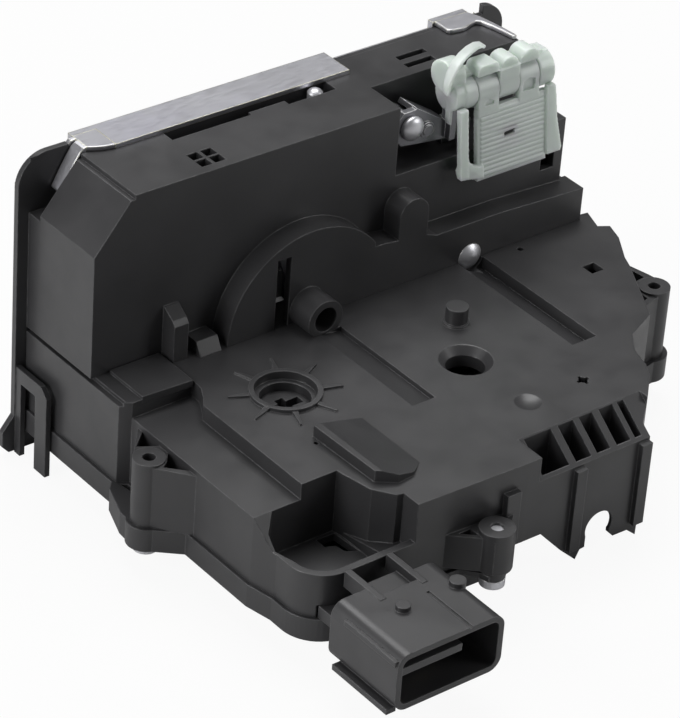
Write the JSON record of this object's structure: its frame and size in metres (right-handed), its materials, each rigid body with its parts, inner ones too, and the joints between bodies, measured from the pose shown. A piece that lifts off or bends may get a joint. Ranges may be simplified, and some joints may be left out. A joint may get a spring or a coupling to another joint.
{
  "type": "car door lock",
  "caption": "Door latch and actuator: upright latch box with claw and pawl behind a metal faceplate, flat worm-drive housing, connector socket and hinged rod clip.",
  "frame": {"origin": "axis of the key hub ring at the panel's top face", "axes": "+X along the latch box, +Y towards the faceplate and the striker side, +Z out of the panel along the key hub axis"},
  "size_m": [0.1562, 0.1402, 0.0879],
  "materials": {
    "housing_plastic": "fine moulded texture, satin on edges",
    "zinc_plate": "zinc plated, faint warm edges",
    "plated_steel": "dull plated",
    "spring_steel": "oiled wire",
    "motor_can": "drawn steel can",
    "terminal_brass": "tinned",
    "carrier_plastic": "glass-filled plastic",
    "gear_plastic": "natural acetal",
    "clip_plastic": "pale translucent moulding",
    "bumper_rubber": "soft matte"
  },
  "bodies": {
    "housing": {"actuator_cover": "housing_plastic", "actuator_base": "housing_plastic", "latch_case": "housing_plastic", "faceplate": "zinc_plate", "backing_plate": "plated_steel", "claw_rivet": "plated_steel", "claw_spring": "spring_steel", "pawl_rivet": "plated_steel", "pawl_spring": "spring_steel", "striker_bumper": "bumper_rubber", "connector_shell": "housing_plastic", "connector_terminals": "terminal_brass", "circuit_carrier": "carrier_plastic", "lock_microswitch": "housing_plastic", "claw_microswitch": "housing_plastic", "drive_motor": "motor_can", "housing_screws": "plated_steel", "case_rivets": "plated_steel", "lever_rivet": "plated_steel"},
    "claw": {"claw": "plated_steel"},
    "pawl": {"pawl": "plated_steel"},
    "release_lever": {"outside_release_lever": "plated_steel"},
    "link": {"release_link": "plated_steel"},
    "clip": {"rod_clip": "clip_plastic"},
    "flap": {"clip_flap": "clip_plastic"},
    "cable_lever": {"inside_release_lever": "plated_steel"},
    "wheel": {"drive_gear": "gear_plastic"},
    "worm": {"worm": "plated_steel"},
    "lock_arm": {"lock_lever": "housing_plastic"},
    "key_hub": {"key_hub": "housing_plastic"}
  },
  "joints": [
    {"name": "claw_turn", "type": "hinge", "parent": "housing", "child": "claw", "pos_m": [0.007, 0.0512, 0.012], "axis": [0, -1, 0], "range_deg": [0, 60], "stiffness_Nm_per_rad": 0.02},
    {"name": "pawl_turn", "type": "hinge", "parent": "housing", "child": "pawl", "pos_m": [0.049, 0.0512, -0.014], "axis": [0, 1, 0], "range_deg": [-15, 5], "stiffness_Nm_per_rad": 0.02},
    {"name": "release_lever_turn", "type": "hinge", "parent": "housing", "child": "release_lever", "pos_m": [0.0593, 0.033, 0.0364], "axis": [0, 1, 0], "range_deg": [0, 7], "stiffness_Nm_per_rad": 0.05},
    {"name": "link_slide", "type": "slide", "parent": "housing", "child": "link", "axis": [0, 0, 1], "range_m": [-0.0019, 0]},
    {"name": "clip_swing", "type": "hinge", "parent": "release_lever", "child": "clip", "pos_m": [0.09, 0.032, 0.042], "axis": [-1, 0, 0], "range_deg": [0, 12]},
    {"name": "flap_open", "type": "hinge", "parent": "clip", "child": "flap", "pos_m": [0.09, 0.032, 0.042], "axis": [-1, 0, 0], "range_deg": [0, 70]},
    {"name": "cable_lever_turn", "type": "hinge", "parent": "housing", "child": "cable_lever", "pos_m": [0.008, 0.0355, 0.0015], "axis": [0, 0, -1], "range_deg": [0, 30]},
    {"name": "wheel_turn", "type": "hinge", "parent": "housing", "child": "wheel", "pos_m": [0.041, 0.0137, -0.016], "axis": [0, 0, 1], "range_deg": [0, 40]},
    {"name": "worm_spin", "type": "hinge", "parent": "housing", "child": "worm", "pos_m": [0.041, -0.001, -0.016], "axis": [1, 0, 0], "range_deg": [-960, 0]},
    {"name": "lock_arm_turn", "type": "hinge", "parent": "housing", "child": "lock_arm", "pos_m": [0.041, 0.0137, -0.01], "axis": [0, 0, 1], "range_deg": [0, 40]},
    {"name": "key_turn", "type": "hinge", "parent": "housing", "child": "key_hub", "pos_m": [0, 0, -0.007], "axis": [0, 0, 1], "range_deg": [-45, 45]}
  ],
  "couplings": [
    {"joint": "link_slide", "follows": "release_lever_turn", "m_per_rad": -0.015552},
    {"joint": "worm_spin", "follows": "wheel_turn", "ratio": -24},
    {"joint": "lock_arm_turn", "follows": "wheel_turn", "ratio": 1}
  ]
}
